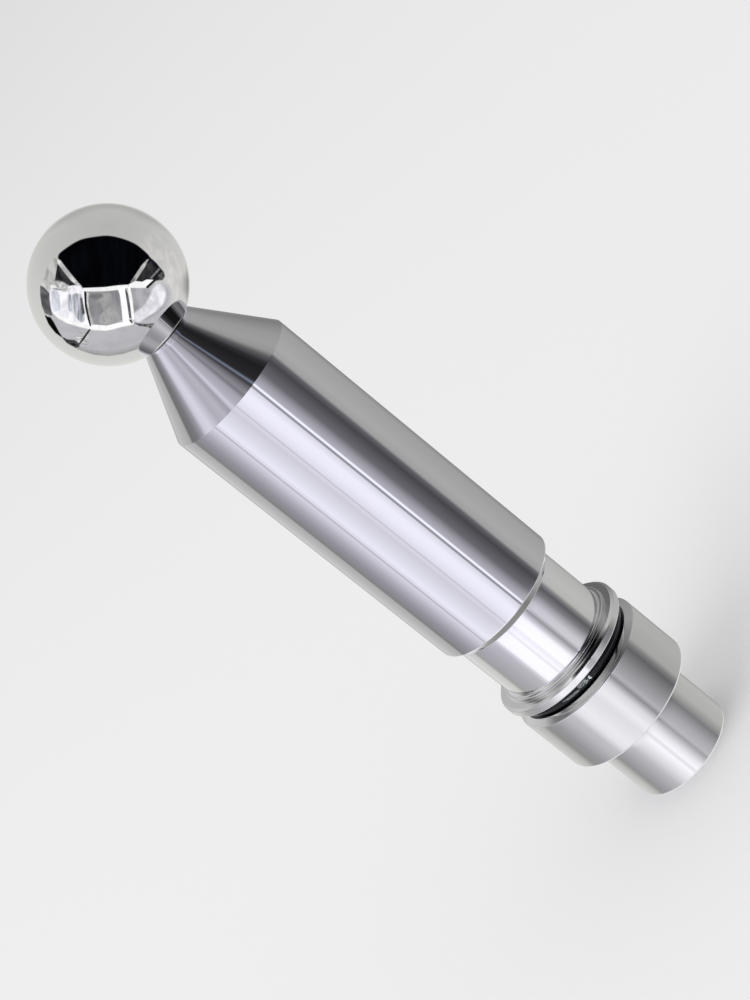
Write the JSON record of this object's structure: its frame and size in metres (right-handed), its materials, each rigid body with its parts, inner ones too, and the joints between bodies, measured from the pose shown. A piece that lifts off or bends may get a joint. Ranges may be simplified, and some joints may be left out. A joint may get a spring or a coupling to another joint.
{
  "type": "spindle test bar",
  "caption": "Ground and polished steel test bar with a precision ball on its conical nose, a relief neck, a sealed collar and a plain spigot for a spindle or collet.",
  "frame": {"origin": "centre of the spigot's end face, on which the bar stands", "axes": "+Z along the bar's axis from the spigot to the ball; X and Y are free, the bar is turned"},
  "size_m": [0.032, 0.032, 0.1679],
  "materials": {
    "polished_steel": "ground and polished",
    "ball_steel": "lapped mirror",
    "dowel_steel": "ground",
    "black_rubber": "semi-gloss"
  },
  "bodies": {
    "root": {"bar_body": "polished_steel", "master_ball": "ball_steel", "ball_dowel": "dowel_steel", "o_ring": "black_rubber"}
  },
  "joints": []
}
